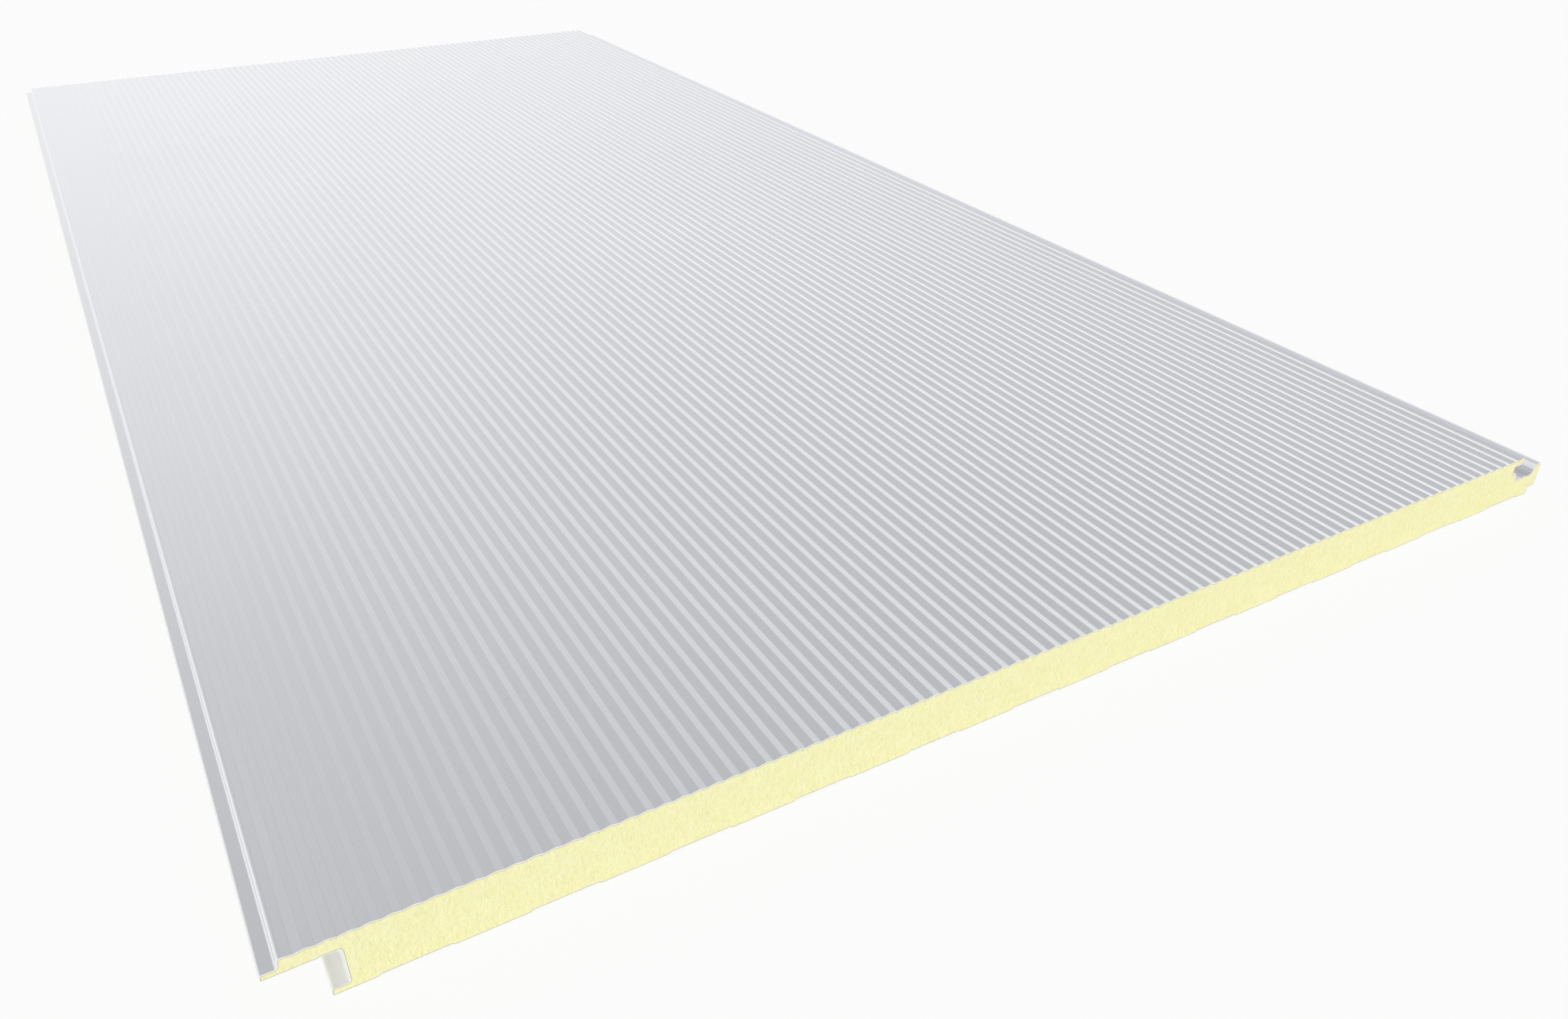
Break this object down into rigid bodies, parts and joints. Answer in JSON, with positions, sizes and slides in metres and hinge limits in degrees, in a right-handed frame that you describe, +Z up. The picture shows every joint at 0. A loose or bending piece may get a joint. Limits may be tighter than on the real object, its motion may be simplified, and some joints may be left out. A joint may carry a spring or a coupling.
{
  "type": "insulated sandwich panel",
  "caption": "Flat insulated wall panel: finely ribbed outer and lined inner steel sheets on a foam core, with a concealed-fixing joint of tongue, groove, channel and hook along its sides.",
  "frame": {"origin": "on the floor, at the centre of the box round the panel, which lies on its inner face", "axes": "X across the panel from the groove side to the hook side, Y along the panel and its ribs, Z up towards the ribbed outer face"},
  "size_m": [1.0368, 2.06, 0.0409],
  "materials": {
    "outer_paint": "satin light grey coil coating",
    "foam": "pale yellow rigid foam, cut",
    "inner_paint": "satin grey-white coil coating"
  },
  "bodies": {
    "root": {"outer_sheet": "outer_paint", "foam_core": "foam", "inner_sheet": "inner_paint"}
  },
  "joints": []
}
